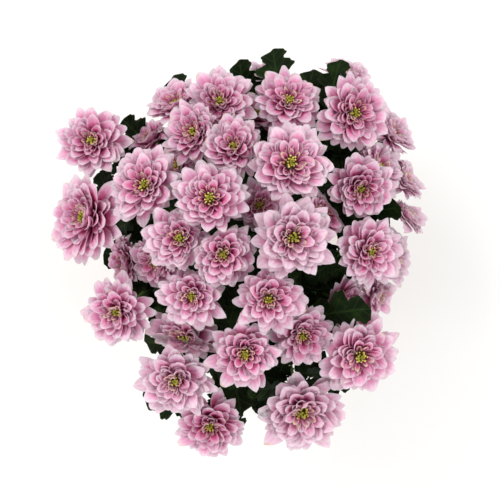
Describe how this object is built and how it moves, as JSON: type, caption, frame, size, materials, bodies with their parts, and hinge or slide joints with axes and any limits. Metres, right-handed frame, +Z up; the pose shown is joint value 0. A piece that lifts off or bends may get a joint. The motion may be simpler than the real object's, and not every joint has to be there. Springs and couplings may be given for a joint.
{
  "type": "potted chrysanthemum",
  "caption": "Clay pot of potting mix with a bushy chrysanthemum: branching stems carry lobed leaves and a dome of double flower heads.",
  "frame": {"origin": "middle of the pot's underside, on the surface that it stands on", "axes": "+Z up along the pot's axis; the front faces -Y; seen from above, +Y is the picture's top and +X its right"},
  "size_m": [0.3251, 0.3737, 0.3302],
  "materials": {
    "clay": "matte",
    "potting_mix": "matte",
    "stem": "satin",
    "leaf": "satin",
    "petal": "matte"
  },
  "bodies": {
    "root": {"pot": "clay", "potting_mix": "potting_mix", "stem_back_left": "stem", "stem_back_right": "stem", "stem_front_left": "stem", "stem_front_right": "stem", "stem_middle": "stem", "leaf_back_left_1": "leaf", "leaf_back_left_2": "leaf", "leaf_back_left_3": "leaf", "leaf_back_right_1": "leaf", "leaf_back_right_2": "leaf", "leaf_back_right_3": "leaf", "leaf_back_right_4": "leaf", "leaf_front_left_1": "leaf", "leaf_front_right_1": "leaf", "leaf_front_right_2": "leaf", "flower_back_left_1_1": "petal", "flower_back_left_1_2": "petal", "flower_back_left_1_3": "petal", "flower_back_left_2_1": "petal", "flower_back_left_2_2": "petal", "flower_back_left_3_1": "petal", "flower_back_left_3_2": "petal", "flower_back_left_3_3": "petal", "flower_back_left_4_1": "petal", "flower_back_left_4_2": "petal", "flower_back_left_4_3": "petal", "flower_back_right_1_1": "petal", "flower_back_right_1_2": "petal", "flower_back_right_1_3": "petal", "flower_back_right_2_1": "petal", "flower_back_right_2_2": "petal", "flower_back_right_2_3": "petal", "flower_back_right_3_1": "petal", "flower_back_right_3_2": "petal", "flower_back_right_3_3": "petal", "flower_front_left_1_1": "petal", "flower_front_left_1_2": "petal", "flower_front_left_1_3": "petal", "flower_front_left_2_1": "petal", "flower_front_left_2_2": "petal", "flower_front_left_3_1": "petal", "flower_front_left_3_2": "petal", "flower_front_left_3_3": "petal", "flower_front_right_1_1": "petal", "flower_front_right_1_2": "petal", "flower_front_right_1_3": "petal", "flower_front_right_2_1": "petal", "flower_front_right_2_2": "petal", "flower_front_right_2_3": "petal", "flower_front_right_3_1": "petal", "flower_front_right_3_2": "petal", "flower_front_right_3_3": "petal", "flower_middle_1_1": "petal", "flower_middle_1_2": "petal", "flower_middle_1_3": "petal", "flower_middle_2_1": "petal", "flower_middle_2_2": "petal", "flower_middle_2_3": "petal"}
  },
  "joints": []
}
